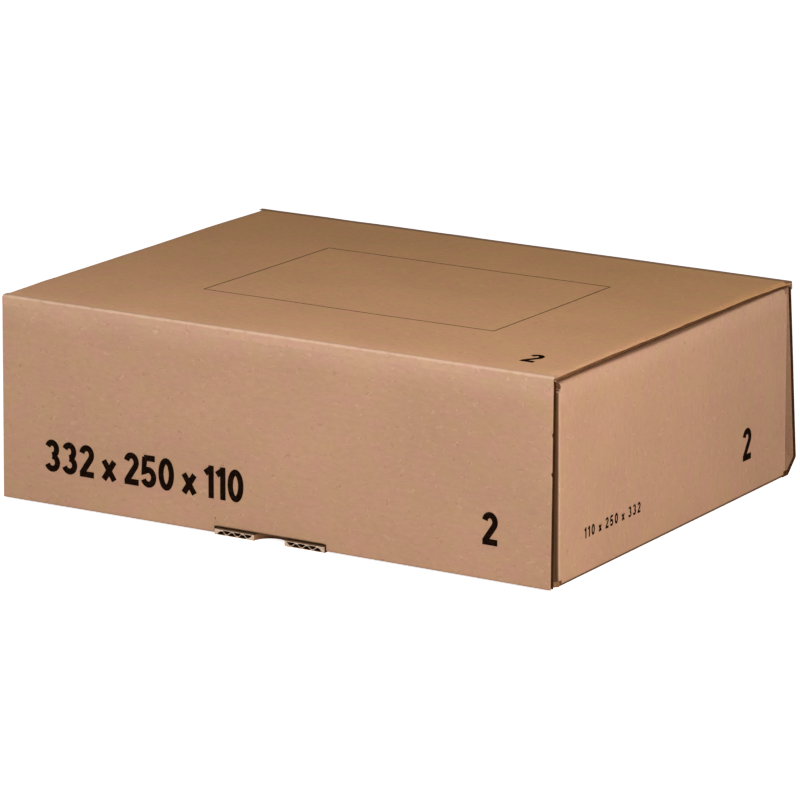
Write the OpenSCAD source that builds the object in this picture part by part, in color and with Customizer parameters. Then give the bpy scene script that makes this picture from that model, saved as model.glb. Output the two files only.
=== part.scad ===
// Corrugated mailer box: a tray, a hinged lid and a front flap that tucks in.
// The origin is the centre of the underside. X is the width, Y runs from the
// front to the back, Z is up. Every fold has a sharp inner line and a creased
// outside with a small radius. Edges cut across the flutes show the wave of the
// medium, and edges cut along them show a groove.

/* [Box] */
// Width over the side walls
box_w = 332; // [260:1:460]
// Depth between the outer faces of front and back at the nominal size
box_d = 250; // [180:1:360]
// Closed height at the front fold of the lid
box_h = 109.2; // [80:0.1:160]
// Thickness of the corrugated board
board_t = 3; // [2:0.1:4]
// Outer radius of a creased fold
fold_r = 1.6; // [0.8:0.1:2]

/* [Flutes] */
// Pitch of the flutes
flute_pitch = 6.5; // [5:0.1:9]
// Thickness of each liner
liner_t = 0.35; // [0.2:0.05:0.5]
// Thickness of the wavy medium
medium_t = 0.35; // [0.2:0.05:0.5]
// Depth to which open flutes are modelled
flute_depth = 3; // [1:0.5:4]
// Depth of the groove in edges that are cut along the flutes
groove_d = 1.8; // [0.5:0.1:3]

/* [Lid and front flap] */
// How far the front of the lid stands above its seat
lid_lift = 3; // [0.5:0.1:5]
// Gap between the side walls' tops and the lid at the back
seat_gap = 0.3; // [0.2:0.1:1]
// Outward lean of the front flap in degrees
flap_flare = 1.5; // [0.5:0.1:3]
// Height of the front flap's cut edge above the ground
flap_ground = 0.8; // [0.5:0.1:3]
// Slack of each hinged fold
fold_gap = 0.3; // [0.2:0.05:0.6]
// Length of the tongue from the flap's fold to its end
tongue_l = 16; // [10:0.5:18]
// Width of the tongue at its root
tongue_w = 66; // [40:1:100]
// Rise of the tongue towards the inside in degrees
tongue_rise = 5; // [4:0.5:10]
// Radius of the tongue's two free corners
tongue_r = 7; // [3:0.5:9]

/* [Locking recess] */
// Width of the recess in the lower edge of the flap
recess_w = 68; // [44:1:110]
// Room between the recess and the two tabs that fill it
tab_gap = 0.6; // [0.4:0.1:1.5]
// Room above the tabs, under the fold of the tongue
tab_head = 0.7; // [0.4:0.1:1.5]
// How far the tabs stay back from the flap's outer face
tab_back = 0.3; // [0:0.1:1]
// Radius of the thumb notch between the tabs
thumb_r = 9.3; // [7:0.1:14]

/* [Bottom] */
// Setback of the bottom's front edge from the nominal front
front_in = 1.8; // [1:0.1:4]
// Setback of the rear fold from the nominal back
rear_in = 3.7; // [1:0.1:8]
// Setback of the bottom's free side edges from the side walls' faces
edge_in = 1; // [0.5:0.1:2.5]
// Corner cut of the bottom panel at the front
corner_cut = 5; // [2:0.5:8]

/* [Back wall] */
// How far the kink stands out behind the nominal back, on the inside face
kink_out = 3.2; // [0:0.1:6]
// Height of the kink, on the inside face
kink_h = 9.2; // [6:0.1:14]
// Setback of the top of the back wall from the nominal back
top_in = 1.6; // [0.5:0.1:3]
// Setback of the back wall's free side edges from the side walls' faces
back_in = 0.5; // [0.2:0.1:2]

/* [Side walls] */
// Gap between the two plies of a rolled-over side wall
ply_gap = 0.4; // [0.2:0.1:1]
// Setback of the ears' outer faces from the nominal front and back
ear_in = 5.8; // [4.5:0.1:12]
// Length of an ear from the side wall's outer face
ear_l = 95; // [50:1:110]
// How far an ear's top stays below the underside of the rolled edge
ear_drop = 0.8; // [0.5:0.1:10]
// Corner cut of an ear's free end
ear_cut = 8; // [3:0.5:20]
// Clearance of cut edges that stand on or beside another panel
edge_gap = 0.4; // [0.2:0.1:1]
// Length of the locking tabs under a side wall's inner ply
lock_l = 34; // [15:1:50]
// Distance of the locking tabs from the middle of the wall
lock_y = 58; // [30:1:75]

/* [Hidden] */
$fn = 64;
kraft = [0.72, 0.54, 0.41];
kraft_light = [0.76, 0.58, 0.45];
kraft_dark = [0.66, 0.49, 0.37];
t = board_t;
half_w = box_w / 2;
half_d = box_d / 2;
over = 1;
// Largest step of a rounded fold, in degrees
arc_step = 9;
// Places of the points of a flute's wavy side and of its two far corners, in
// pitches off its middle
wave_at = [-0.25, -0.1, 0.1, 0.25];
wave_end = 0.4;

// Inner fold lines, as [y, z], in the order of the folded sheet
bottom_fold = [half_d - rear_in, t];
kink_fold = [half_d + kink_out, kink_h];
back_fold = [half_d - top_in - t, box_h - t - lid_lift];
front_fold = [-half_d + t, box_h - t];

// Headings of the panels in the YZ plane, in degrees
strip_head = heading(bottom_fold, kink_fold);
back_head = heading(kink_fold, back_fold);
lid_head = heading(back_fold, front_fold);
flap_head = 270 - flap_flare;
tongue_head = 360 + tongue_rise;
rear_mitre = (back_head + lid_head) / 2;
front_mitre = (lid_head + flap_head) / 2;

// Ends of the panels on the two hinged folds, and along the flap
back_top = back_fold - fold_gap / 2 * unit(back_head);
lid_rear = back_fold + fold_gap / 2 * unit(lid_head);
lid_front = front_fold - fold_gap / 2 * unit(lid_head);
flap_top = front_fold + fold_gap / 2 * unit(flap_head);
flap_foot = along_flap(flap_ground);
tongue_fold = along_flap(2 * t + tab_head);
tongue_end = tongue_fold + tongue_l * unit(tongue_head);

// Places that panels share
wall_h = back_fold[1] - seat_gap;
ear_y = half_d - ear_in - t;
roll_z = wall_h - t;
inner_x = half_w - 2 * t - ply_gap;
ear_z = t + edge_gap;
ear_top = roll_z - ear_drop;
front_y = -half_d + front_in;
tab_y = along_flap(t)[0] - t + tab_back;
tab_half = recess_w / 2 - tab_gap;

function unit(a) = [cos(a), sin(a)];
function heading(a, b) = atan2(b[1] - a[1], b[0] - a[0]);
// Point of the flap's inner face at the height z
function along_flap(z) = front_fold + (front_fold[1] - z) / cos(flap_flare) * unit(flap_head);
// Height of a flute's wavy side over the liner below it, s pitches off its middle
function flute_wave(s) = medium_t + (t - 2 * liner_t - medium_t) * (1 - cos(360 * s)) / 2;
// Points of an arc about c, from angle a to angle b
function arc(c, r, a, b) =
    let (steps = ceil(abs(b - a) / arc_step))
    [for (i = [0:steps]) c + r * unit(steps == 0 ? a : a + (b - a) * i / steps)];

// Points of a run at a depth of the board, about its inner fold line p, where the
// heading changes from a to b. Its radius falls from fold_r at the outer face to 0.
function fold_arc(p, depth, a, b, mitre) =
    let (
        r = max(depth - t + fold_r, 0),
        turn = max(abs(a - mitre), abs(b - mitre)),
        c = p + (depth - r) / cos(turn) * unit(mitre - 90))
    r == 0 ? [c] : arc(c, r, a - 90, b - 90);

// Cross-section of a run of panels with its inner fold lines at the points. The
// headings are those before the first point, of each panel, and after the last
// point, where the run ends at a mitre. The section spans the board's depth from
// near to far, to the right of the run.
module strip(points, heads, near = 0, far = board_t) {
    last = len(points) - 1;
    mitres = [for (i = [0:last])
        i == 0 ? heads[0] : i == last ? heads[i + 1] : (heads[i] + heads[i + 1]) / 2];
    inside = [for (i = [0:last])
        each fold_arc(points[i], near, heads[i], heads[i + 1], mitres[i])];
    outside = [for (i = [last:-1:0])
        each fold_arc(points[i], far, heads[i + 1], heads[i], mitres[i])];
    polygon(concat(inside, outside));
}

// A YZ cross-section drawn out from x = a to x = b
module span(a, b) {
    translate([a, 0, 0]) rotate([90, 0, 90]) linear_extrude(b - a) children();
}

// An XZ cross-section drawn out over the length l, about Y = 0
module along_y(l) {
    translate([0, l / 2, 0]) rotate([90, 0, 0]) linear_extrude(l) children();
}

// A run of panels from x = -half to x = half, with a groove in both side edges
module panels(half, points, heads) {
    difference() {
        span(-half, half) strip(points, heads);
        both_sides() span(half - groove_d, half + over)
            strip(points, heads, liner_t, t - liner_t);
    }
}

// Mouths of the flutes in a cut edge from a to b, with the board's depth along Y.
// Every second flute opens to the other liner.
module flutes(a, b) {
    half = flute_pitch / 2;
    top = t - liner_t;
    wave = [for (s = wave_at) [s * flute_pitch, liner_t + flute_wave(s)]];
    mouth = concat([[-wave_end * flute_pitch, top]], wave, [[wave_end * flute_pitch, top]]);
    for (i = [ceil(a / half + 1):floor(b / half - 1)])
        polygon([for (p = mouth) [i * half + p[0], i % 2 == 0 ? p[1] : t - p[1]]]);
}

// The flutes of a panel that runs along a heading in YZ and is cut at its end
module end_flutes(end, head, a, b) {
    translate([0, end[0], end[1]]) rotate([head - 90, 0, 0])
        translate([0, 0, -flute_depth]) linear_extrude(flute_depth + over) flutes(a, b);
}

module both_sides() {
    children();
    mirror([1, 0, 0]) children();
}

module both_ends() {
    children();
    mirror([0, 1, 0]) children();
}

// Bottom panel with its tabs at the front, seen from above
module bottom_outline() {
    side_x = half_w - t;
    free_x = half_w - edge_in;
    rear_x = half_w - back_in;
    polygon([
        [-free_x, front_y + corner_cut], [-free_x + corner_cut, front_y],
        [-tab_half, front_y], [-tab_half, tab_y], [tab_half, tab_y], [tab_half, front_y],
        [free_x - corner_cut, front_y], [free_x, front_y + corner_cut],
        [free_x, -ear_y], [side_x, -ear_y],
        [side_x, ear_y], [rear_x, ear_y],
        [rear_x, bottom_fold[0]], [-rear_x, bottom_fold[0]],
        [-rear_x, ear_y], [-side_x, ear_y],
        [-side_x, -ear_y], [-free_x, -ear_y]]);
}

module bottom_panel() {
    difference() {
        linear_extrude(t) difference() {
            bottom_outline();
            translate([0, tab_y]) circle(r = thumb_r);
        }
        both_sides() {
            end_flutes([tab_y, 0], 180, thumb_r, tab_half);
            end_flutes([front_y, 0], 180, tab_half, half_w - edge_in - corner_cut);
        }
    }
}

// Slots beside the side folds, for the locking tabs of the inner plies
module lock_slots() {
    both_sides() both_ends()
        translate([inner_x - ply_gap / 2, lock_y - lock_l / 2 - edge_gap, -over])
            cube([t + ply_gap, lock_l + 2 * edge_gap, t + 2 * over]);
}

module back_wall() {
    start = bottom_fold - [t, 0];
    panels(half_w - back_in, [start, bottom_fold, kink_fold, back_top],
        [0, 0, strip_head, back_head, rear_mitre]);
}

// Outer ply with the fold to the bottom panel
module outer_ply() {
    fold_x = half_w - t;
    along_y(2 * ear_y)
        strip([[fold_x - t, t], [fold_x, t], [fold_x, roll_z]], [0, 0, 90, 90]);
    both_ends() translate([fold_x, ear_y - over, ear_top])
        cube([t, over + t / 2, roll_z - ear_top]);
}

// Rolled top edge between two creases, and inner ply, which stands between the ears
module inner_ply() {
    fold_x = half_w - t;
    along_y(2 * (ear_y - edge_gap))
        strip(
            [[fold_x, ear_z], [fold_x, roll_z], [inner_x + t, roll_z], [inner_x + t, ear_z]],
            [90, 90, 180, 270, 270]);
    both_ends() translate([inner_x, lock_y - lock_l / 2, edge_gap])
        cube([t, lock_l, ear_z]);
}

// Ear at the end of a side wall, folded in along the front or the back
module ear() {
    end_x = half_w - ear_l;
    fold_x = half_w - t;
    flat_x = end_x + ear_cut;
    translate([0, 0, ear_z]) linear_extrude(ear_top - ear_z)
        strip([[fold_x, ear_y - t], [fold_x, ear_y], [fold_x - t, ear_y]], [90, 90, 180, 180]);
    difference() {
        translate([0, ear_y + t, 0]) rotate([90, 0, 0]) linear_extrude(t)
            polygon([
                [fold_x, ear_z], [fold_x, ear_top], [flat_x, ear_top],
                [end_x, ear_top - ear_cut], [end_x, ear_z]]);
        translate([flat_x, ear_y + liner_t, ear_top - groove_d])
            cube([fold_x - t - flat_x, t - 2 * liner_t, groove_d + over]);
        translate([end_x - over, ear_y + t, 0]) rotate([90, 0, 90])
            linear_extrude(flute_depth + over) rotate(90) flutes(ear_z, ear_top - ear_cut);
    }
}

module tray() {
    color(kraft) {
        back_wall();
        difference() {
            union() {
                bottom_panel();
                both_sides() outer_ply();
            }
            lock_slots();
        }
        both_sides() {
            inner_ply();
            both_ends() ear();
        }
    }
}

module lid() {
    color(kraft_light)
        panels(half_w, [lid_rear, lid_front], [rear_mitre, lid_head, front_mitre]);
}

// Tongue with its fold, rounded at its two free corners
module tongue() {
    half = tongue_w / 2;
    start = tongue_fold - t * unit(flap_head);
    tip_y = tongue_end[0] + over;
    round_x = half - tongue_r;
    round_y = tongue_end[0] - tongue_r;
    difference() {
        span(-half, half)
            strip([start, tongue_fold, tongue_end], [flap_head, flap_head, tongue_head, tongue_head]);
        both_sides() linear_extrude(3 * tongue_fold[1])
            polygon(concat(
                [[half + over, round_y], [half + over, tip_y], [round_x, tip_y]],
                arc([round_x, round_y], tongue_r, 90, 0)));
        end_flutes(tongue_end, tongue_head, -round_x, round_x);
    }
}

// Hanging part of the front flap, with the recess in its lower edge
module flap_panel() {
    heads = [front_mitre, flap_head, flap_head];
    half = recess_w / 2;
    difference() {
        union() {
            both_sides() span(half, half_w) strip([flap_top, flap_foot], heads);
            span(-half, half) strip([flap_top, tongue_fold], heads);
        }
        both_sides() {
            span(half_w - groove_d, half_w + over)
                strip([flap_top, flap_foot], heads, liner_t, t - liner_t);
            end_flutes(flap_foot, flap_head, half, half_w - groove_d);
        }
    }
}

module front_flap() {
    color(kraft_dark) {
        flap_panel();
        tongue();
    }
}

tray();
lid();
front_flap();
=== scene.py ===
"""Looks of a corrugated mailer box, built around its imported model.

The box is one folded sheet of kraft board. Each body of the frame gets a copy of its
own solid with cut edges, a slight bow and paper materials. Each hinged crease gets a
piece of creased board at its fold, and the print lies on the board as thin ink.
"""

import math

import bmesh
import bpy
from mathutils import Matrix, Vector, noise


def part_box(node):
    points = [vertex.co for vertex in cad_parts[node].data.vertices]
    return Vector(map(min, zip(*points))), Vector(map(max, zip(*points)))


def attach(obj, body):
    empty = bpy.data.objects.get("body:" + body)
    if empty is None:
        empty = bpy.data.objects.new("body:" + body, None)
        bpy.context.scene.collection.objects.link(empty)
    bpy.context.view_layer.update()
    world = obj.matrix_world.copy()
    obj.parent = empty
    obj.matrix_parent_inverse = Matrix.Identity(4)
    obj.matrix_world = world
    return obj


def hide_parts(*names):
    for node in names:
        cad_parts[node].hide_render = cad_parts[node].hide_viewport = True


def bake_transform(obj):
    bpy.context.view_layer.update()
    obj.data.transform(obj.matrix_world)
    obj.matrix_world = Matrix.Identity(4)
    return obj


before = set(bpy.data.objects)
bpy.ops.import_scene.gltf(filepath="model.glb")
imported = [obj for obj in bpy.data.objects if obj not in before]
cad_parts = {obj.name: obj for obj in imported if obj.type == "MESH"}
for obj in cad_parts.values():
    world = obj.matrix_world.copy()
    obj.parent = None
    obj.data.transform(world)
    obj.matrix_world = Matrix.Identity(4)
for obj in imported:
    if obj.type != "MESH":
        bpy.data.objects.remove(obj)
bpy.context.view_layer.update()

MM = 0.001

# Board
BOARD = 3 * MM
GROOVE = 1.8 * MM
HALF_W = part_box("lid")[1].x
TOP_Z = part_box("lid")[1].z
FOLD_GAP = 0.3 * MM
FOLD_RADIUS = 1.6 * MM

# Fold lines on the inside of the sheet, as (y, z), and the panels' headings in degrees
FRONT_FOLD = (-122 * MM, 106.2 * MM)
REAR_FOLD = (120.4 * MM, 103.2 * MM)
KINK_FOLD = (128.2 * MM, 9.2 * MM)
FLAP_HEAD = 268.5
LID_HEAD = math.degrees(math.atan2(FRONT_FOLD[1] - REAR_FOLD[1], FRONT_FOLD[0] - REAR_FOLD[0]))
BACK_HEAD = math.degrees(math.atan2(REAR_FOLD[1] - KINK_FOLD[1], REAR_FOLD[0] - KINK_FOLD[0]))
FRONT_HEADS = (LID_HEAD, FLAP_HEAD)
REAR_HEADS = (BACK_HEAD, LID_HEAD)

# The hinged panels: the fold that each starts from, its heading, and the axis along it
PANELS = {"lid": (REAR_FOLD, LID_HEAD, 1), "front_flap": (FRONT_FOLD, FLAP_HEAD, 2)}

# Other places on the folded sheet
TONGUE_HALF = 33 * MM
TONGUE_FRONT = -124 * MM
SLIT_FOOT = 3.5 * MM
CORNER_Y = 118.1 * MM
EAR_SIDE = 120.5 * MM
ROLL_FRONT = 115 * MM

# Mesh
CELL = 8 * MM
CUT_WIDTH = 3.6 * MM
PANEL_AREA = 60 * MM * MM
SMOOTH_ANGLE = math.radians(35)
RUN_ON_ANGLE = math.radians(20)
FLAT_ANGLE = math.radians(0.5)
WELD = 1e-6
HAIR = 0.1 * MM

# Unevenness of the board
FLAP_BOW = 1.0 * MM
LID_BOW = 0.5 * MM
LID_INSET = 1.0 * MM
WALL_RISE = 1.6 * MM
WALL_IN = 0.12 * MM
ROLL_END = 1.7 * MM
TONGUE_GROW = 0.95 * MM
RIPPLE = 0.16 * MM
RIPPLE_SIZE = 55 * MM
FOLD_RIPPLE = 0.12 * MM
FOLD_RIPPLE_SIZE = 18 * MM

# Places in the noise, so that each part is uneven in its own way
FRONT_SEED = 1.5
REAR_SEED = 4.5
FLAP_SEED = 3.1
LID_SEED = 7.7
WALL_SEED = 9.3

# How far down the flap its ripple is full and the fold's ends, as shares of its height
FLAP_RIPPLE_FULL = 0.15
FLAP_FOLD_ENDS = 0.08

# How far from the lid's folds its ripple and bow are full, and the folds' ripple ends
LID_RIPPLE_FULL = 30 * MM
LID_BOW_FULL = 60 * MM
LID_FOLD_ENDS = 8 * MM

# Where the lid's inset grows, along Y, and how far before the rear fold it starts to end
LID_INSET_Y = (-115 * MM, 30 * MM)
LID_INSET_ENDS = 6 * MM

# Where the tray's unevenness grows from none to all: shares of half the width and of the
# height, then distances
WALL_SHARE = (0.9, 0.98)
WALL_RISE_SHARE = (0.4, 0.9)
WALL_FOOT = 12 * MM
BACK_FOLD_REACH = 10 * MM
BACK_WALL_Y = (110 * MM, 118 * MM)
ROLL_END_Y = (114.2 * MM, 115.8 * MM)
ROLL_END_Z = (99 * MM, 99.8 * MM)

# Outer liner pressed in at the die-cut side edges, by a start and an end depth, and small
# nicks in it as (place along the edge, depth), in millimetres
CRUSH = {"lid": (0.5 * MM, 1.15 * MM), "front_flap": (0.15 * MM, 0.15 * MM)}
CRUSH_GROWS = (-110 * MM, 0)
CRUSH_SIZE = 9 * MM
CRUSH_CHANGE = 0.4
NICKS = {"lid": ((-101, 1.1), (-67, 0.8), (-35, 0.7)), "front_flap": ((79.7, 0.7), (59.8, 0.9))}
NICK_HALF = 1.3 * MM
NICK_SINKS = 0.4

# Where a side wall begins and where it ends below its rolled edge
WALL_X = HALF_W - 2 * BOARD
WALL_TOP = REAR_FOLD[1] - BOARD
ROLL_FOOT = REAR_FOLD[1] - 1.2 * BOARD

# How pale the paper is beside its folds and edges, from 0 to 1, and where: rubbed paper, with painted
# highlight under the front fold, along the walls' rolled tops, on the roll ends and at the walls' corners
FLAP_WEAR_AND_HIGHLIGHT = 1
LID_WEAR = 0.45
REAR_WEAR = 0.5
# Painted highlight along the side walls' rolled tops
ROLL_HIGHLIGHT = 0.55
WEAR_REACH = 6 * MM
LID_WEAR_FOOT = FRONT_FOLD[1] + 0.7 * BOARD
ROLL_HIGHLIGHT_Z = (REAR_FOLD[1] - 13 * MM, REAR_FOLD[1] - 5 * MM)
ROLL_HIGHLIGHT_HALF = 0.96 * -FRONT_FOLD[0]
ROLL_END_DEPTH = 3 * MM
# Pale line at the walls' front and back corners: rubbed paper and a painted highlight
CORNER_WIDTH = 1.7 * MM
CORNER_RUB_AND_HIGHLIGHT = (0.2 * MM, 0.8 * MM)
RIM_WIDTH = 0.9 * MM
RIM_PATCH_SIZE = 14 * MM

# How much painted shade the paper takes, and between which heights or depths that fades: along the lowest
# edges, on the ears behind the flap, at the lid's rear fold and over the tongue
FRONT_PAINTED_SHADE = 0.35
EAR_PAINTED_SHADE = 0.9
REAR_PAINTED_SHADE = 0.6
PAINTED_SHADE_Z = (1.35 * MM, 1.9 * MM)
EAR_PAINTED_SHADE_Y = (CORNER_Y + 0.3 * MM, CORNER_Y + 0.9 * MM)
REAR_PAINTED_SHADE_Y = (REAR_FOLD[0] - 3.4 * MM, REAR_FOLD[0] - 2.4 * MM)
TONGUE_PAINTED_SHADE_Z = (4.2 * MM, 5 * MM)
TONGUE_PAINTED_SHADE_HALF = TONGUE_HALF + 0.5 * MM
REAR_PAINTED_SHADE_FOOT = REAR_FOLD[1] + 0.6 * BOARD

# Lines that the mesh is cut on beside the painted shade, along Y
LID_CUTS_Y = (117.2 * MM, 118.2 * MM)
TRAY_CUT_Y = -117.2 * MM

# Print
INK_LIFT = 0.06 * MM
INK_DEPTH = 0.1 * MM
STROKE_STEP = 0.004 * MM
FRAME_LINE = 0.55 * MM
FRAME_STEPS = 24
FRAME_CORNERS = ((-83, -61), (93.3, -60.3), (94.3, 56.8), (-80.3, 56))

# Colours, linear
KRAFT = (0.49, 0.287, 0.186)
# The lid's top: the same kraft, painted warmer for the light that falls on it
LID_PAINTED_LIGHT_KRAFT = (0.535, 0.288, 0.144)
CUT_COLOUR = (0.27, 0.135, 0.065)
# Painted shade inside the open flutes and on the inner half of the die-cut side edges
FLUTE_SHADE_COLOUR = (0.07, 0.026, 0.008)
# The tabs' cut front, painted paler for the light it catches
TAB_PAINTED_LIGHT_COLOUR = (0.56, 0.42, 0.32)
INK = (0.008, 0.0035, 0.002)
FLOOR_COLOUR = (0.86, 0.86, 0.86)

# Factors on the paper's colour
# Painted sheen on the lid's top: whiter at its front and warmer at its back
LID_FRONT_SHEEN_TINT = (1, 1.02, 1.14)
LID_REAR_WARM_LIGHT_TINT = (1, 0.97, 0.84)
PINK_DRIFT = (1.015, 0.972, 1.04)
YELLOW_DRIFT = (0.985, 1.028, 0.95)
DARK_CURL = (0.82, 0.77, 0.72)
PALE_CURL = (1.13, 1.17, 1.22)
# Rubbed paper, and painted highlight under the front fold and at the walls' corners
WEAR_AND_HIGHLIGHT_PALE = (1.13, 1.17, 1.23)
# Whitened fibres and a painted highlight on each crest
CREST_PALE_AND_HIGHLIGHT = (1.35, 1.55, 1.75)
# Painted shade
PAINTED_SHADE_DARK = (0.2, 0.17, 0.11)
CLOUD_CHANGE = 0.045

# Noise of the paper: bumps a metre along and across its fibres, and a layer of its own
CLOUD_NOISE = (14, 18, 1)
DRIFT_NOISE = (62, 84, 1)
MOTTLE_NOISE = (210, 420, 1)
CURL_NOISE = (260, 380, 14)
CURL_GROUP_NOISE = (210, 260, 21)
CREST_NOISE = (160, 0, 1)
RELIEF_NOISE = (620, 1300, 1)

# Levels of the noise that its darkest and palest places are taken from
SPREAD = (0.3, 0.7)
DRIFT_SPREAD = (0.36, 0.64)

# Pale fibres, dark fibres and specks: noise as above, its detail, roughness and warp, the
# levels between which they fade in, their strength, and their factors on the colour
FIBRES = (
    ((280, 1500, 1), (2.0, 0.5, 0.9), (0.64, 0.74), 0.55, (1.2, 1.236, 1.26)),
    ((320, 1300, 4), (2.0, 0.5, 1.0), (0.66, 0.76), 0.45, (0.72, 0.72, 0.72)),
    ((700, 1100, 9), (1.0, 0.55, 0.0), (0.76, 0.8), 0.6, (0.5, 0.45, 0.4)),
)

# Curled fibres: the level that each kind winds along, and how far from it they fade out.
# They lie in groups, between two levels of another noise.
CURLS = ((0.43, DARK_CURL), (0.5, PALE_CURL))
CURL_FADE = (0.02, 0.07)
CURL_GROUPS = (0.58, 0.64)
CURL_STRENGTH = 0.85

# Pale line on a crest, whitened stretched fibres with a painted highlight: how far it
# wanders, the distances that it fades between, and its strength
CREST_WANDER = 0.5 * MM
CREST_FADE = (0.3 * MM, 1.1 * MM)
CREST_STRENGTH = 0.75

# Lamps: name, azimuth, height, distance, size, power and colour. Azimuth 0 is in front
# of the box, and 90 at its right.
LAMPS = (
    ("top_right", 25, 55, 0.55, 0.3, 0.55, (0.98, 1, 1)),
    ("top_left", -25, 50, 0.55, 0.3, 0.34, (1, 0.98, 0.93)),
    ("front", 0, 35, 0.5, 0.3, 0.48, (0.98, 1, 1)),
    ("right", 70, 25, 0.7, 0.4, 1.8, (1, 0.945, 0.875)),
    ("right_wide", 60, 12, 1.6, 1.0, 7.6, (1, 0.96, 0.88)),
    ("left", -45, 15, 0.8, 0.4, 1.0, (1, 0.96, 0.88)),
    ("back", 190, 5, 2.0, 0.8, 9.5, (1, 1, 1)),
)
WORLD = 0.1

# White floor: half its width in metres, and what the camera sees over its own light
FLOOR_HALF = 6
FLOOR_GLOW = 0.85

# Camera
CAMERA_AT = (1.5205, -2.4388, 0.8123)
CAMERA_AIM = (-0.0008, 0.0004, 0.0463)
CAMERA_ROLL = -0.29
CAMERA_LENS = 254.7


# Places and unevenness

def unit(angle):
    """Unit vector in the YZ plane at an angle in degrees."""
    turn = math.radians(angle)
    return Vector((0, math.cos(turn), math.sin(turn)))


def smooth_step(low, high, value):
    """0 below low, 1 above high, and a smooth rise between."""
    s = min(max((value - low) / (high - low), 0), 1)
    return s * s * (3 - 2 * s)


def ripple(u, v, seed):
    """Gentle unevenness between about -1 and 1 at a place of the sheet."""
    return noise.noise(Vector((u / RIPPLE_SIZE, v / RIPPLE_SIZE, seed)))


def fold_ripple(x, seed):
    """Fall of a hinged fold line at x, which is never a rise."""
    return FOLD_RIPPLE * noise.noise(Vector((x / FOLD_RIPPLE_SIZE, seed, 0.5))) - FOLD_RIPPLE


def outer_depth(p, node):
    """Depth of a point under the outer face of a hinged panel."""
    fold, head, _ = PANELS[node]
    return BOARD - (p - Vector((0, *fold))).dot(unit(head - 90))


def edge_shift(p, node):
    """Crushed and nicked die-cut side edges of a hinged panel, as (inward, down)."""
    near = smooth_step(HALF_W - GROOVE, HALF_W - HAIR, abs(p.x))
    if near == 0 or outer_depth(p, node) > BOARD / 2:
        return 0, 0
    along = p[PANELS[node][2]]
    start, end = CRUSH[node]
    crush = start + (end - start) * smooth_step(*CRUSH_GROWS, along)
    crush *= near * (1 + CRUSH_CHANGE * noise.noise(Vector((along / CRUSH_SIZE, 0.3, p.x))))
    nick = 0
    if p.x > 0:
        for place, depth in NICKS[node]:
            nick += depth * MM * near * (1 - smooth_step(0, NICK_HALF, abs(along - place * MM)))
    return nick, crush + NICK_SINKS * nick


def flap_shift(p):
    """How far the front flap lies from its flat form at a point."""
    down = (FRONT_FOLD[1] - p.z) / FRONT_FOLD[1]
    across = 1 - (p.x / HALF_W) ** 2
    bow = FLAP_BOW * across * smooth_step(0, 1, down)
    wave = RIPPLE / 2 * (1 + ripple(p.x, p.z, FLAP_SEED)) * smooth_step(0, FLAP_RIPPLE_FULL, down)
    fold = fold_ripple(p.x, FRONT_SEED) * (1 - smooth_step(0, FLAP_FOLD_ENDS, down))
    nick, crush = edge_shift(p, "front_flap")
    in_slit = abs(abs(p.x) - TONGUE_HALF) < HAIR and p.y < TONGUE_FRONT and p.z > SLIT_FOOT
    aside = math.copysign(TONGUE_GROW if in_slit else 0, p.x) - math.copysign(nick, p.x)
    return Vector((aside, bow + wave + crush, fold))


def lid_shift(p):
    """How far the lid lies from its flat form at a point."""
    to_rear = REAR_FOLD[0] - p.y
    inside = min(p.y - FRONT_FOLD[0], to_rear)
    wave = RIPPLE * ripple(p.x, p.y, LID_SEED) * smooth_step(0, LID_RIPPLE_FULL, inside)
    wave += LID_BOW * smooth_step(0, LID_BOW_FULL, inside)
    seed = FRONT_SEED if p.y < 0 else REAR_SEED
    fold = fold_ripple(p.x, seed) * (1 - smooth_step(0, LID_FOLD_ENDS, inside))
    inward, crush = edge_shift(p, "lid")
    if abs(p.x) > HALF_W - GROOVE - HAIR:
        inward += LID_INSET * smooth_step(*LID_INSET_Y, p.y) * smooth_step(0, LID_INSET_ENDS, to_rear)
    return Vector((-math.copysign(inward, p.x), 0, wave + fold - crush))


def tray_shift(p):
    """How far the tray lies from its flat form at a point."""
    at_wall = smooth_step(*WALL_SHARE, abs(p.x) / HALF_W)
    high = smooth_step(0, WALL_FOOT, p.z)
    inward = WALL_IN + RIPPLE * (1 + ripple(p.y, p.z, WALL_SEED)) * high
    at_fold = smooth_step(REAR_FOLD[1] - BACK_FOLD_REACH, REAR_FOLD[1], p.z)
    at_fold *= smooth_step(*BACK_WALL_Y, p.y)
    rise = WALL_RISE * smooth_step(0, -FRONT_FOLD[0], -p.y)
    rise *= smooth_step(*WALL_RISE_SHARE, p.z / REAR_FOLD[1])
    end = ROLL_END * smooth_step(*ROLL_END_Y, -p.y) * smooth_step(*ROLL_END_Z, p.z)
    fold = fold_ripple(p.x, REAR_SEED) * at_fold
    return Vector((-math.copysign(at_wall * inward, p.x), -end, fold + rise))


SHIFTS = {"tray": tray_shift, "lid": lid_shift, "front_flap": flap_shift}


# Rubbed paper, painted highlight and painted shade

def crest_reach(heads):
    """Distance of a fold's outer crest from its inner line."""
    half_turn = math.radians((heads[1] - heads[0]) / 2)
    return (BOARD - FOLD_RADIUS) / math.cos(half_turn) + FOLD_RADIUS


def past_crest(p, fold, heads):
    """How much further a point lies from a fold's inner line than the crest does."""
    return math.hypot(p.y - fold[0], p.z - fold[1]) - crest_reach(heads)


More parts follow.
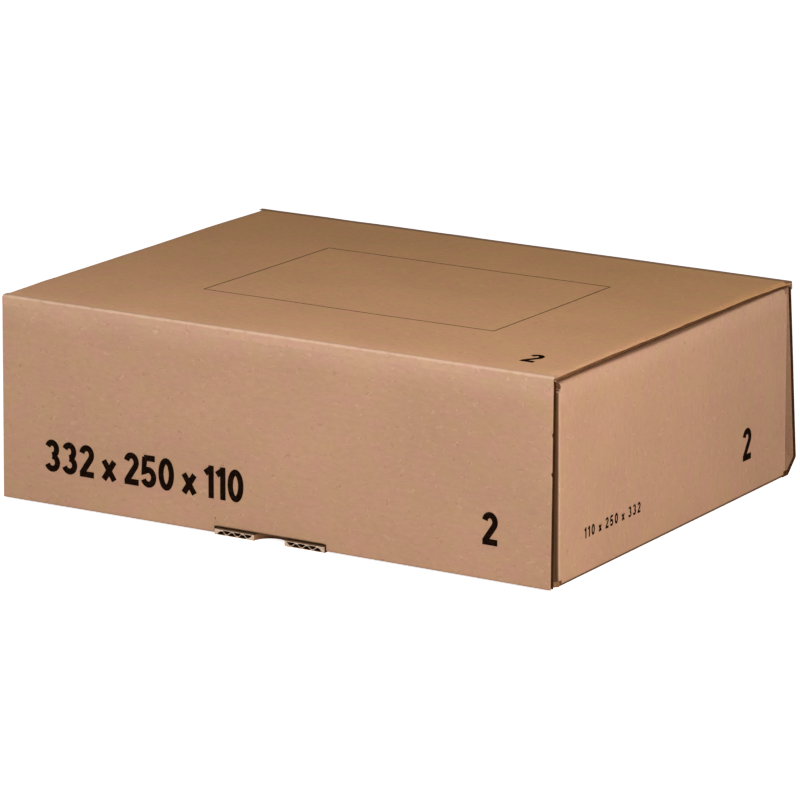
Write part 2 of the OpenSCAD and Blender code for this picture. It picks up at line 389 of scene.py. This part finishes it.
def fold_wear_and_highlight(p):
    """How rubbed the paper is, with painted highlight: most under the front fold, less on the other folds,
    and painted highlight along the walls' rolled tops, on the roll ends and at the walls' corners.
    """
    share = FLAP_WEAR_AND_HIGHLIGHT if p.z < LID_WEAR_FOOT else LID_WEAR
    wear_and_highlight = share * (1 - smooth_step(0, WEAR_REACH, past_crest(p, FRONT_FOLD, FRONT_HEADS)))
    rear = REAR_WEAR * (1 - smooth_step(0, WEAR_REACH, past_crest(p, REAR_FOLD, REAR_HEADS)))
    wear_and_highlight = max(wear_and_highlight, rear)
    # Painted highlight along the rolled top of each side wall
    if HALF_W - abs(p.x) < BOARD / 2 and abs(p.y) < ROLL_HIGHLIGHT_HALF:
        wear_and_highlight = max(wear_and_highlight, ROLL_HIGHLIGHT * smooth_step(*ROLL_HIGHLIGHT_Z, p.z))
    # Painted light on the roll ends, which lie in shade behind the flap's edge
    at_roll_end = 0 < -p.y - ROLL_FRONT < ROLL_END_DEPTH and p.z > ROLL_FOOT
    if abs(p.x) > WALL_X and at_roll_end:
        wear_and_highlight = 1
    # Pale line at the walls' corners: rubbed paper and a painted highlight
    if abs(p.x) > HALF_W - CORNER_WIDTH and p.z < WALL_TOP:
        wear_and_highlight = max(wear_and_highlight, 1 - smooth_step(*CORNER_RUB_AND_HIGHLIGHT, abs(abs(p.y) - CORNER_Y)))
    return wear_and_highlight


def rim_wear(p):
    """How rubbed the outer liner is along the die-cut side edges of a hinged panel."""
    place = Vector((p.y / RIM_PATCH_SIZE, p.z / RIM_PATCH_SIZE, 2.2))
    patch = 0.5 + 0.5 * smooth_step(-0.3, 0.3, noise.noise(place))
    return patch * smooth_step(HALF_W - RIM_WIDTH, HALF_W, abs(p.x))


def sheet_wear_and_highlight(p):
    """How rubbed a hinged panel is on its folds and along its side edges, with the painted highlight of
    its folds.
    """
    return max(fold_wear_and_highlight(p), rim_wear(p))


def fold_line(p):
    """Distance from the crest of the nearer hinged fold."""
    ways = []
    for fold, heads in ((FRONT_FOLD, FRONT_HEADS), (REAR_FOLD, REAR_HEADS)):
        crest = Vector((0, *fold)) + unit((heads[0] + heads[1]) / 2 - 90) * crest_reach(heads)
        ways.append(math.hypot(p.y - crest.y, p.z - crest.z))
    return min(ways)


def painted_shade(p):
    """Painted shade on the paper: along the lowest edges, on the ears in the gap behind the flap, and at
    two folds, the lid's rear fold and the tongue's.
    """
    low = (FRONT_PAINTED_SHADE if p.y < FRONT_FOLD[0] else 1) * (1 - smooth_step(*PAINTED_SHADE_Z, p.z))
    ear = 0
    if abs(p.x) > WALL_X and p.z < WALL_TOP and p.y > FRONT_FOLD[0]:
        ear = EAR_PAINTED_SHADE * smooth_step(*EAR_PAINTED_SHADE_Y, -p.y)
    rear = 0
    if p.z > REAR_PAINTED_SHADE_FOOT:
        rear = REAR_PAINTED_SHADE * smooth_step(*REAR_PAINTED_SHADE_Y, p.y)
    tongue = 0
    if abs(p.x) < TONGUE_PAINTED_SHADE_HALF and p.y < TONGUE_FRONT:
        tongue = 1 - smooth_step(*TONGUE_PAINTED_SHADE_Z, p.z)
    return max(low, ear, rear, tongue)


# Shader helpers

def add_node(tree, kind, inputs=None, **settings):
    """A shader node with its settings and its inputs, linked or set."""
    made = tree.nodes.new(kind)
    for key, value in settings.items():
        setattr(made, key, value)
    for key, value in (inputs or {}).items():
        if isinstance(value, bpy.types.NodeSocket):
            tree.links.new(value, made.inputs[key])
        else:
            made.inputs[key].default_value = value
    return made


def sheet_place(tree, stretch):
    """Coordinates on the flat sheet in metres, times a factor along each axis."""
    place = add_node(tree, "ShaderNodeUVMap", uv_map="sheet")
    inputs = {"Vector": place.outputs["UV"], "Scale": stretch}
    return add_node(tree, "ShaderNodeMapping", inputs).outputs["Vector"]


def noise_value(tree, stretch, detail=3.0, rough=0.55, warp=0.0):
    """Noise over the sheet with that many bumps a metre along each axis."""
    inputs = {"Vector": sheet_place(tree, stretch), "Scale": 1.0, "Detail": detail}
    inputs["Roughness"] = rough
    inputs["Distortion"] = warp
    return add_node(tree, "ShaderNodeTexNoise", inputs).outputs["Fac"]


def object_noise(tree, scale, detail):
    """Noise through an object with that many bumps a metre."""
    place = add_node(tree, "ShaderNodeTexCoord").outputs["Object"]
    inputs = {"Vector": place, "Scale": scale, "Detail": detail}
    return add_node(tree, "ShaderNodeTexNoise", inputs).outputs["Fac"]


def math_value(tree, operation, first, second=0.0):
    """The result of an operation on one or two values."""
    made = add_node(tree, "ShaderNodeMath", {0: first, 1: second}, operation=operation)
    return made.outputs[0]


def between(tree, value, low, high, out_low=0.0, out_high=1.0):
    """The value, with low to high spread over out_low to out_high, and clamped."""
    inputs = {"Value": value, "From Min": low, "From Max": high}
    inputs["To Min"] = out_low
    inputs["To Max"] = out_high
    return add_node(tree, "ShaderNodeMapRange", inputs).outputs["Result"]


def stored(tree, name):
    """A measure that mark_wear_and_painted_light has stored at each point."""
    return add_node(tree, "ShaderNodeAttribute", attribute_name=name).outputs["Fac"]


def blend_colour(tree, share, first, second, kind="MIX"):
    """One colour over another by a share."""
    made = add_node(tree, "ShaderNodeMix", data_type="RGBA", blend_type=kind)
    for index, value in ((0, share), (6, first), (7, second)):
        if isinstance(value, bpy.types.NodeSocket):
            tree.links.new(value, made.inputs[index])
        elif index == 0:
            made.inputs[index].default_value = value
        else:
            made.inputs[index].default_value = (*value, 1)
    return made.outputs[2]


def times(tree, colour, factor):
    """A colour times another colour or a value."""
    return blend_colour(tree, 1.0, colour, factor, "MULTIPLY")


def scaled(colour, factor):
    """A colour times one factor, or a factor for each of its three parts."""
    factors = factor if isinstance(factor, tuple) else (factor,) * 3
    return tuple(c * f for c, f in zip(colour, factors))


def new_material(name):
    """A material with its node tree and its shader."""
    material = bpy.data.materials.new(name)
    material.use_nodes = True
    tree = material.node_tree
    return material, tree, tree.nodes["Principled BSDF"]


def set_surface(tree, shader, colour, roughness, specular):
    """Colour and dullness of a surface."""
    tree.links.new(colour, shader.inputs["Base Color"])
    shader.inputs["Roughness"].default_value = roughness
    shader.inputs["Specular IOR Level"].default_value = specular


def add_relief(tree, shader, height, strength, distance):
    """Fine relief on a surface."""
    bump = add_node(tree, "ShaderNodeBump", {"Height": height, "Strength": strength, "Distance": distance})
    tree.links.new(bump.outputs["Normal"], shader.inputs["Normal"])


def seen_rays(tree):
    """1 for what the camera sees, straight or in a gloss, and 0 for other light."""
    rays = add_node(tree, "ShaderNodeLightPath").outputs
    return math_value(tree, "MAXIMUM", rays["Is Camera Ray"], rays["Is Glossy Ray"])


# Materials

def paper_hues(tree, base, light_tints):
    """Kraft colour with clouds, drifts of hue, a painted tint of light from front to back, and mottle."""
    darkest = 1 - CLOUD_CHANGE
    palest = 1 + CLOUD_CHANGE
    cloud = between(tree, noise_value(tree, CLOUD_NOISE, detail=2.0), *SPREAD)
    colour = blend_colour(tree, cloud, scaled(base, darkest), scaled(base, palest))
    drift = between(tree, noise_value(tree, DRIFT_NOISE, detail=2.5), *DRIFT_SPREAD)
    colour = times(tree, colour, blend_colour(tree, drift, PINK_DRIFT, YELLOW_DRIFT))
    if light_tints:
        place = add_node(tree, "ShaderNodeSeparateXYZ", {0: sheet_place(tree, (1, 1, 1))})
        back = between(tree, place.outputs["Y"], FRONT_FOLD[0], REAR_FOLD[0])
        colour = times(tree, colour, blend_colour(tree, back, *light_tints))
    mottle = between(tree, noise_value(tree, MOTTLE_NOISE), *SPREAD, darkest, palest)
    return times(tree, colour, mottle)


def with_fibres(tree, base, colour):
    """Lying fibres, flecks and a few curled fibres over the paper's colour."""
    for stretch, kind, levels, strength, shade in FIBRES:
        share = between(tree, noise_value(tree, stretch, *kind), *levels, 0, strength)
        colour = blend_colour(tree, share, colour, scaled(base, shade))
    for level, shade in CURLS:
        winding = noise_value(tree, CURL_NOISE, detail=1.0, rough=0.5, warp=1.2)
        away = math_value(tree, "ABSOLUTE", math_value(tree, "SUBTRACT", winding, level))
        curl = between(tree, away, *CURL_FADE, 1, 0)
        group = noise_value(tree, CURL_GROUP_NOISE, detail=1.0)
        share = math_value(tree, "MULTIPLY", curl, between(tree, group, *CURL_GROUPS, 0, CURL_STRENGTH))
        colour = blend_colour(tree, share, colour, scaled(base, shade))
    return colour


def with_wear_and_painted_light(tree, base, colour):
    """Pale rubbed paper with painted highlight, a pale wandering line of whitened fibres and painted
    highlight on each crest, and painted shade.
    """
    # Rubbed paper, partly painted highlight
    colour = blend_colour(tree, stored(tree, "wear_and_highlight"), colour, WEAR_AND_HIGHLIGHT_PALE, "MULTIPLY")
    # Whitened fibres and a painted highlight along each crest
    waves = noise_value(tree, CREST_NOISE, detail=2.0)
    wander = between(tree, waves, *SPREAD, -CREST_WANDER, CREST_WANDER)
    off = math_value(tree, "ADD", stored(tree, "crest"), wander)
    line = between(tree, off, *CREST_FADE, CREST_STRENGTH, 0)
    colour = blend_colour(tree, line, colour, scaled(base, CREST_PALE_AND_HIGHLIGHT))
    # Painted shade, darkest where the stored shade is full
    return blend_colour(tree, stored(tree, "painted_shade"), colour, PAINTED_SHADE_DARK, "MULTIPLY")


def kraft_material(name, base, light_tints=None):
    """Kraft paper. The light tints are factors on its colour at the front and at the back: painted sheen,
    whiter at the front and warmer at the back.
    """
    material, tree, shader = new_material(name)
    colour = with_fibres(tree, base, paper_hues(tree, base, light_tints))
    set_surface(tree, shader, with_wear_and_painted_light(tree, base, colour), roughness=0.9, specular=0.08)
    relief = noise_value(tree, RELIEF_NOISE, detail=4.0, rough=0.6)
    add_relief(tree, shader, relief, strength=0.2, distance=0.06 * MM)
    return material


def cut_material(name, base):
    """Raw cut edge of the board: torn brown fibres, in the colour given; the open flutes' near-black is
    painted shade.
    """
    material, tree, shader = new_material(name)
    fine = object_noise(tree, scale=1400.0, detail=3.0)
    shade = between(tree, object_noise(tree, scale=160.0, detail=2.0), *SPREAD, 0.85, 1.15)
    colour = blend_colour(tree, between(tree, fine, *SPREAD), scaled(base, 0.75), scaled(base, 1.35))
    set_surface(tree, shader, times(tree, colour, shade), roughness=0.95, specular=0.1)
    add_relief(tree, shader, fine, strength=0.6, distance=0.2 * MM)
    return material


def ink_material():
    """Black printing ink that has sunk into the paper, thinner in places."""
    material, tree, shader = new_material("ink")
    thin = between(tree, object_noise(tree, scale=900.0, detail=3.0), 0.5, 0.8, 0, 0.25)
    colour = blend_colour(tree, thin, INK, scaled(KRAFT, 0.15))
    set_surface(tree, shader, colour, roughness=0.95, specular=0.0)
    return material


KRAFT_MATERIAL = kraft_material("kraft", KRAFT)
# The lid's top: kraft with painted light, warmer, and painted sheen whiter at the front and warmer at the
# back
LID_PAINTED_LIGHT_MATERIAL = kraft_material("lid_kraft_painted_light", LID_PAINTED_LIGHT_KRAFT, (LID_FRONT_SHEEN_TINT, LID_REAR_WARM_LIGHT_TINT))
CUT_MATERIAL = cut_material("cut_edge", CUT_COLOUR)
# Painted shade inside the open flutes
FLUTE_SHADE_MATERIAL = cut_material("open_flutes_painted_shade", FLUTE_SHADE_COLOUR)
# Cut edge painted paler for the light on the tabs' front
TAB_PAINTED_LIGHT_MATERIAL = cut_material("tab_edge_painted_light", TAB_PAINTED_LIGHT_COLOUR)
INK_MATERIAL = ink_material()

# Order of the materials on a piece of board. The last is the tabs' front on the tray, a cut
# edge painted paler for the light it catches, and the inside on the lid, plain kraft without
# the top's painted light.
LINER_SLOT, CUT_SLOT, FLUTE_SLOT, OTHER_SLOT = range(4)
BOARD_MATERIALS = [KRAFT_MATERIAL, CUT_MATERIAL, FLUTE_SHADE_MATERIAL]
TRAY_MATERIALS = [*BOARD_MATERIALS, TAB_PAINTED_LIGHT_MATERIAL]
LID_MATERIALS = [LID_PAINTED_LIGHT_MATERIAL, CUT_MATERIAL, FLUTE_SHADE_MATERIAL, KRAFT_MATERIAL]


# Board pieces

def new_piece(name, bm, materials):
    """A finished object from a bmesh."""
    mesh = bpy.data.meshes.new(name)
    bm.to_mesh(mesh)
    bm.free()
    for material in materials:
        mesh.materials.append(material)
    mesh.shade_smooth()
    mesh.set_sharp_from_angle(angle=SMOOTH_ANGLE)
    made = bpy.data.objects.new(name, mesh)
    bpy.context.scene.collection.objects.link(made)
    return made


def mark_wear_and_painted_light(made, wear_and_highlight):
    """Stores at each point how rubbed the paper is with its painted highlight, how much painted shade it
    takes, and the way to a crest.
    """
    mesh = made.data
    for name, measure in (("wear_and_highlight", wear_and_highlight), ("crest", fold_line), ("painted_shade", painted_shade)):
        layer = mesh.attributes.new(name, "FLOAT", "POINT")
        layer.data.foreach_set("value", [measure(v.co) for v in mesh.vertices])


def narrowness(face):
    """Width of a face, taken as its area over its longest reach."""
    spread = [max(v.co[i] for v in face.verts) - min(v.co[i] for v in face.verts) for i in range(3)]
    return face.calc_area() / max(Vector(spread).length, 1e-9)


def liner_faces(bm):
    """The wide panels, and all that runs on from them round a fold."""
    liner = {f for f in bm.faces if f.calc_area() > PANEL_AREA and narrowness(f) > CUT_WIDTH}
    waiting = list(liner)
    while waiting:
        face = waiting.pop()
        for edge in face.edges:
            if len(edge.link_faces) == 2 and edge.calc_face_angle() < RUN_ON_ANGLE:
                for other in edge.link_faces:
                    if other not in liner:
                        liner.add(other)
                        waiting.append(other)
    return liner


def face_slot(face, node, in_liner):
    """Which material of its piece a face has."""
    middle = face.calc_center_median()
    in_wall = abs(middle.x) > HALF_W - 2.5 * BOARD and abs(middle.y) < -FRONT_FOLD[0]
    hollow = any(not e.is_convex and e.calc_face_angle(0) > SMOOTH_ANGLE for e in face.edges)
    if in_liner:
        slot = LINER_SLOT
    else:
        # Hollow cut faces take the open flutes' painted shade
        slot = FLUTE_SLOT if hollow and not in_wall else CUT_SLOT
    if node == "tray":
        # The rolled tops' faces, their cut ends too, take the paper's colour, paler than a cut edge:
        # painted light on the roll ends' shade
        if in_wall and middle.z > REAR_FOLD[1] - 2 * BOARD:
            slot = LINER_SLOT
        # The tabs' cut front, where it faces forward, is painted paler for the light it catches
        if slot == CUT_SLOT and middle.y < FRONT_FOLD[0] and face.normal.y < -0.8:
            slot = OTHER_SLOT
        return slot
    # On the die-cut side edges of the lid and flap, the inner half takes the open flutes' painted shade
    if abs(face.normal.x) > 0.9 and abs(middle.x) > HALF_W - HAIR:
        rim = LINER_SLOT if node == "lid" else CUT_SLOT
        slot = rim if outer_depth(middle, node) < BOARD / 2 else FLUTE_SLOT
    # The lid's inside takes plain kraft, without the top's painted light
    if node == "lid" and slot == LINER_SLOT and face.normal.z < -0.5:
        slot = OTHER_SLOT
    return slot


def lay_sheet(bm, upright_ears):
    """Gives each face its place on the flat sheet, in metres. Fibres run along U.

    Walls, ears and other upright panels start half a metre or more from the level
    ones, so that neighbours show different paper.
    """
    wall_start, upright_start, ear_start = 0.5, 0.8, 1.1
    facing = 0.7
    layer = bm.loops.layers.uv.new("sheet")
    for face in bm.faces:
        n = face.normal
        middle = face.calc_center_median()
        for loop in face.loops:
            p = loop.vert.co
            if abs(n.x) > facing:
                place = (p.z + wall_start, p.y)
            elif abs(n.z) > facing:
                place = (p.x, p.y)
            elif upright_ears and abs(middle.y) < EAR_SIDE:
                place = (p.z + ear_start, p.x)
            else:
                place = (p.x, p.z + math.copysign(upright_start, n.y))
            loop[layer].uv = place


def cut_across(bm, axis, place, part=None):
    """Cuts the mesh, or a part of it, on the plane across an axis at a place."""
    at = Vector((0, 0, 0))
    at[axis] = place
    normal = Vector((0, 0, 0))
    normal[axis] = 1
    everything = bm.verts[:] + bm.edges[:] + bm.faces[:]
    bmesh.ops.bisect_plane(bm, geom=part or everything, dist=WELD, plane_co=at, plane_no=normal)


def cut_grid(bm, low, high):
    """Cuts the mesh on planes a cell apart, so that its panels can bow."""
    for axis in range(3):
        reach = high[axis] - low[axis]
        steps = math.ceil(reach / CELL)
        for i in range(1, steps):
            cut_across(bm, axis, low[axis] + reach * i / steps)


def cut_lines(bm, node):
    """Cuts the mesh beside the crushed edges and the narrow lines of painted shade and wear."""
    inset = HALF_W - GROOVE - HAIR / 2
    lines = [(0, inset), (0, -inset), (0, HALF_W - RIM_WIDTH), (0, RIM_WIDTH - HALF_W)]
    if node == "lid":
        lines += [(1, place) for place in LID_CUTS_Y]
    elif node == "front_flap":
        lines += [(2, PAINTED_SHADE_Z[1])]
    else:
        lines = [(2, PAINTED_SHADE_Z[1]), (1, TRAY_CUT_Y)]
    for axis, place in lines:
        cut_across(bm, axis, place)


def cut_nicks(bm, node):
    """Cuts the mesh beside each nick of the right side edge."""
    for place, _ in NICKS.get(node, ()):
        for step in (-1, -0.4, 0, 0.4, 1):
            near = [f for f in bm.faces if max(v.co.x for v in f.verts) > HALF_W - 2 * GROOVE]
            edges = dict.fromkeys(e for f in near for e in f.edges)
            corners = dict.fromkeys(v for f in near for v in f.verts)
            at = place * MM + step * NICK_HALF
            cut_across(bm, PANELS[node][2], at, [*corners, *edges, *near])


def board_piece(node, name, materials):
    """The board of one body: its own solid with bowed panels and marked cut edges."""
    bm = bmesh.new()
    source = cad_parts[node].data
    corners = [bm.verts.new(v.co) for v in source.vertices]
    for polygon in source.polygons:
        bm.faces.new([corners[i] for i in polygon.vertices])
    bmesh.ops.remove_doubles(bm, verts=bm.verts, dist=WELD)
    bmesh.ops.dissolve_limit(bm, angle_limit=FLAT_ANGLE, verts=bm.verts, edges=bm.edges)
    liner = liner_faces(bm)
    for face in bm.faces:
        face.material_index = face_slot(face, node, face in liner)
    lay_sheet(bm, node == "tray")
    cut_grid(bm, *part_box(node))
    cut_lines(bm, node)
    cut_nicks(bm, node)
    for vert in bm.verts:
        vert.co += SHIFTS[node](vert.co)
    made = new_piece(name, bm, materials)
    mark_wear_and_painted_light(made, fold_wear_and_highlight if node == "tray" else sheet_wear_and_highlight)
    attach(made, node)
    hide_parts(node)


def crease_piece(name, fold, heads, seed):
    """The creased board at a hinged fold: outer liner and the crushed core in the gap."""
    inner_line = Vector((0, *fold))
    middle = (heads[0] + heads[1]) / 2
    mitre = unit(middle)
    outward = unit(middle - 90)
    reach = crest_reach(heads)
    centre = inner_line + outward * (reach - FOLD_RADIUS)
    wing = 3.5 * MM
    skin = 0.25 * MM
    proud = 0.03 * MM
    clear = 0.05 * MM
    bend_steps = 5
    fan_steps = 8
    half_gap = FOLD_GAP / 2

    def side(head, sign):
        """Outer points of one panel, from its wing's end to the gap."""
        normal = unit(head - 90)
        run = unit(head) * sign
        flat_end = centre + normal * FOLD_RADIUS
        points = [flat_end + run * wing, flat_end + run * MM + normal * proud]
        for i in range(bend_steps + 1):
            share = i / bend_steps
            angle = head - 90 + (middle - head) * share
            points.append(centre + unit(angle) * (FOLD_RADIUS + proud) + mitre * half_gap * sign * share)
        return points

    def under(head, sign):
        """Inner points of one panel, from its wing's end to the gap."""
        normal = unit(head - 90)
        run = unit(head) * sign
        flat_end = centre + normal * FOLD_RADIUS
        stop = inner_line + outward * (reach - 2 * skin) + mitre * half_gap * sign
        return [flat_end + run * wing - normal * skin / 2, flat_end - normal * skin, stop]

    first = side(heads[0], -1)
    last = side(heads[1], 1)
    outer_gap = [first[-1].lerp(last[-1], i / fan_steps) for i in range(1, fan_steps)]
    inner = [
        inner_line + mitre * half_gap * (1 - 2 * i / fan_steps) + outward * clear
        for i in range(fan_steps + 1)]
    ring = first + outer_gap + last[::-1] + under(heads[1], 1) + inner + under(heads[0], -1)[::-1]

    bm = bmesh.new()
    layer = bm.loops.layers.uv.new("sheet")
    columns = 48
    rows = []
    for i in range(columns + 1):
        x = (HALF_W - clear) * (2 * i / columns - 1)
        rise = Vector((0, 0, fold_ripple(x, seed)))
        rows.append([bm.verts.new(Vector((x, p.y, p.z)) + rise) for p in ring])
    count = len(ring)
    for near, far in zip(rows, rows[1:]):
        for i in range(count):
            j = (i + 1) % count
            bm.faces.new((near[i], near[j], far[j], far[i]))
    bm.faces.new(rows[0][::-1])
    bm.faces.new(rows[-1])
    bmesh.ops.recalc_face_normals(bm, faces=bm.faces)
    for face in bm.faces:
        for loop in face.loops:
            p = loop.vert.co
            loop[layer].uv = (p.x, p.y + p.z)
    made = new_piece(name, bm, [KRAFT_MATERIAL])
    mark_wear_and_painted_light(made, fold_wear_and_highlight)
    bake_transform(made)


# Print

def print_place(body, u, v, lift):
    """Point over the outer face of a hinged panel, or of the tray's right side wall.

    u is x on a panel and y on the wall. v is y on the lid, and a height elsewhere.
    """
    if body == "tray":
        flat = Vector((HALF_W + lift, u, v))
    else:
        fold, head, axis = PANELS[body]
        run = unit(head)
        flat = Vector((0, *fold)) + unit(head - 90) * (BOARD + lift)
        flat += run * ((v - flat[axis]) / run[axis])
        flat.x = u
    return flat + SHIFTS[body](flat)


def ink_piece(name, bm, body):
    """Thin ink on a body from a flat mesh whose points are (u, v), with a small rise as z."""
    bmesh.ops.remove_doubles(bm, verts=bm.verts, dist=1e-7)
    grown = bmesh.ops.extrude_face_region(bm, geom=bm.faces[:])
    lifted = {v for v in grown["geom"] if isinstance(v, bmesh.types.BMVert)}
    for vert in bm.verts:
        lift = INK_LIFT + vert.co.z
        if vert not in lifted:
            lift -= INK_DEPTH
        vert.co = print_place(body, vert.co.x, vert.co.y, lift)
    bmesh.ops.recalc_face_normals(bm, faces=bm.faces)
    made = new_piece(name, bm, [INK_MATERIAL])
    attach(made, body)


def bow_points(cx, cy, rx, ry, start, stop, steps=12):
    """Points of an elliptical arc, from one angle to another in degrees."""
    angles = [math.radians(start + (stop - start) * i / steps) for i in range(steps + 1)]
    return [(cx + rx * math.cos(a), cy + ry * math.sin(a)) for a in angles]


# Strokes of each sign, on centre lines in a box one unit high, and the sign's width
HALF_STROKE = 0.095
LEAST_TURN = 0.6
SIGNS = {
    " ": (0.16, []),
    "0": (0.56, [bow_points(0.28, 0.5, 0.185, 0.405, 90, 450, 28)]),
    "1": (0.34, [[(0.03, 0.745), (0.245, 0.905)], [(0.245, 1.0), (0.245, 0)]]),
    "2": (0.54, [
        bow_points(0.27, 0.7, 0.175, 0.205, 170, -38) + [(0.12, 0.15)],
        [(0.02, 0.095), (0.53, 0.095)]]),
    "3": (0.55, [
        bow_points(0.26, 0.71, 0.165, 0.195, 160, -90),
        bow_points(0.265, 0.295, 0.19, 0.2, 90, -160)]),
    "5": (0.55, [
        [(0.5, 0.905), (0.11, 0.905)],
        [(0.14, 0.93), (0.105, 0.48)] + bow_points(0.265, 0.32, 0.19, 0.225, 128, -158, 16)]),
    "x": (0.46, [[(0.04, 0.03), (0.42, 0.62)], [(0.42, 0.03), (0.04, 0.62)]]),
}


def stroke_faces(bm, points, rise):
    """A flat band along a line of (u, v) points, at a small rise of its own."""
    line = [Vector(p) for p in points]
    closed = (line[0] - line[-1]).length < 1e-6
    pairs = []
    for i, p in enumerate(line):
        before = line[i - 1] if i else (line[-2] if closed else p)
        after = line[i + 1] if i < len(line) - 1 else (line[1] if closed else p)
        first = (p - before).normalized() if i or closed else (after - p).normalized()
        second = (after - p).normalized() if i < len(line) - 1 or closed else first
        along = (first + second).normalized()
        reach = HALF_STROKE / max(along.dot(first), LEAST_TURN)
        across = Vector((-along.y, along.x)) * reach
        pairs.append([bm.verts.new((q.x, q.y, rise)) for q in (p - across, p + across)])
    for near, far in zip(pairs, pairs[1:]):
        bm.faces.new((near[0], far[0], far[1], near[1]))


def printed_text(name, text, low, high, body):
    """Plain numerals that fill a rectangle, given by two corners in millimetres."""
    left, foot, right, top = (c * MM for c in (*low, *high))
    size = top - foot
    spare = (right - left) / size - sum(SIGNS[sign][0] for sign in text)
    spacing = spare / (len(text) - 1) if len(text) > 1 else 0
    bm = bmesh.new()
    pen = 0
    for sign in text:
        width, strokes = SIGNS[sign]
        for i, points in enumerate(strokes):
            stroke_faces(bm, [(pen + u, v) for u, v in points], i * STROKE_STEP)
        pen += width + spacing
    for vert in bm.verts:
        vert.co = Vector((left + vert.co.x * size, foot + vert.co.y * size, vert.co.z))
    ink_piece(name, bm, body)


def printed_frame(name, body):
    """Thin printed rectangle."""
    corners = [Vector(c) * MM for c in FRAME_CORNERS]
    centre = sum(corners, Vector((0, 0))) / len(corners)
    bm = bmesh.new()
    loops = []
    for offset in (0, FRAME_LINE):
        ring = []
        for i, corner in enumerate(corners):
            after = corners[(i + 1) % len(corners)]
            for k in range(FRAME_STEPS):
                p = corner.lerp(after, k / FRAME_STEPS)
                inward = Vector((
                    math.copysign(1, centre.x - p.x) if k == 0 or i % 2 else 0,
                    math.copysign(1, centre.y - p.y) if k == 0 or not i % 2 else 0))
                p += inward * offset
                ring.append(bm.verts.new((p.x, p.y, 0)))
        loops.append(ring)
    outer, inner = loops
    for i in range(len(outer)):
        j = (i + 1) % len(outer)
        bm.faces.new((outer[i], outer[j], inner[j], inner[i]))
    ink_piece(name, bm, body)


# Camera, floor and light

def aim(obj, at, target, roll=0.0):
    """Places an object and turns its view axis to a target."""
    direction = Vector(target) - Vector(at)
    spin = Matrix.Rotation(math.radians(roll), 3, "Z")
    turn = direction.to_track_quat("-Z", "Y").to_matrix() @ spin
    obj.matrix_world = Matrix.Translation(at) @ turn.to_4x4()


def make_camera():
    """The photo's camera, with colours shown as they are."""
    bpy.context.scene.view_settings.view_transform = "Standard"
    camera = bpy.data.cameras.new("camera")
    camera.lens = CAMERA_LENS
    camera.sensor_width = 36
    camera.clip_end = 50
    made = bpy.data.objects.new("camera", camera)
    bpy.context.scene.collection.objects.link(made)
    aim(made, CAMERA_AT, CAMERA_AIM, CAMERA_ROLL)
    bpy.context.scene.camera = made


def make_floor():
    """White floor that shows as white and keeps a soft shadow of the box."""
    bm = bmesh.new()
    bmesh.ops.create_grid(bm, x_segments=1, y_segments=1, size=FLOOR_HALF)
    mesh = bpy.data.meshes.new("floor")
    bm.to_mesh(mesh)
    bm.free()
    floor = bpy.data.objects.new("floor", mesh)
    bpy.context.scene.collection.objects.link(floor)
    material, tree, shader = new_material("floor_white")
    shader.inputs["Base Color"].default_value = (*FLOOR_COLOUR, 1)
    shader.inputs["Roughness"].default_value = 0.9
    shader.inputs["Specular IOR Level"].default_value = 0.1
    level = between(tree, seen_rays(tree), 0, 1, 0, FLOOR_GLOW)
    glow = add_node(tree, "ShaderNodeEmission", {"Strength": level})
    total = add_node(tree, "ShaderNodeAddShader", {0: shader.outputs[0], 1: glow.outputs[0]})
    tree.links.new(total.outputs[0], tree.nodes["Material Output"].inputs["Surface"])
    mesh.materials.append(material)


def make_lamp(name, azimuth, height, distance, size, power, colour):
    """Square soft light aimed at the box."""
    light = bpy.data.lights.new(name, "AREA")
    light.shape = "SQUARE"
    light.size = size
    light.energy = power
    light.color = colour
    made = bpy.data.objects.new(name, light)
    bpy.context.scene.collection.objects.link(made)
    a = math.radians(azimuth)
    e = math.radians(height)
    target = Vector((0, 0, TOP_Z / 2))
    away = Vector((math.sin(a) * math.cos(e), -math.cos(a) * math.cos(e), math.sin(e)))
    aim(made, target + away * distance, target)
    made.visible_camera = False


def make_world(strength):
    """Faint even light that the camera sees as white."""
    world = bpy.data.worlds.new("studio")
    bpy.context.scene.world = world
    world.use_nodes = True
    tree = world.node_tree
    level = between(tree, seen_rays(tree), 0, 1, strength, 1)
    background = tree.nodes["Background"]
    background.inputs["Color"].default_value = (1, 1, 1, 1)
    tree.links.new(level, background.inputs["Strength"])


# The box

board_piece("tray", "tray_sheet", TRAY_MATERIALS)
board_piece("lid", "lid_sheet", LID_MATERIALS)
board_piece("front_flap", "flap_sheet", BOARD_MATERIALS)
crease_piece("front_crease", FRONT_FOLD, FRONT_HEADS, FRONT_SEED)
crease_piece("rear_crease", REAR_FOLD, REAR_HEADS, REAR_SEED)

printed_text("front_print", "332 x 250 x 110", (-139.4, 18.5), (-16.1, 35.8), "front_flap")
printed_text("front_mark", "2", (126, 18.7), (140, 35.8), "front_flap")
printed_text("side_mark", "2", (71, 19.3), (85, 36.7), "tray")
printed_text("side_print", "110 x 250 x 332", (-93.5, 18.9), (-37, 24.6), "tray")
printed_text("lid_mark", "2", (134.3, -105.2), (152.6, -90), "lid")
printed_frame("address_frame", "lid")

# Its stage

make_floor()
for lamp in LAMPS:
    make_lamp(*lamp)
make_world(WORLD)
make_camera()
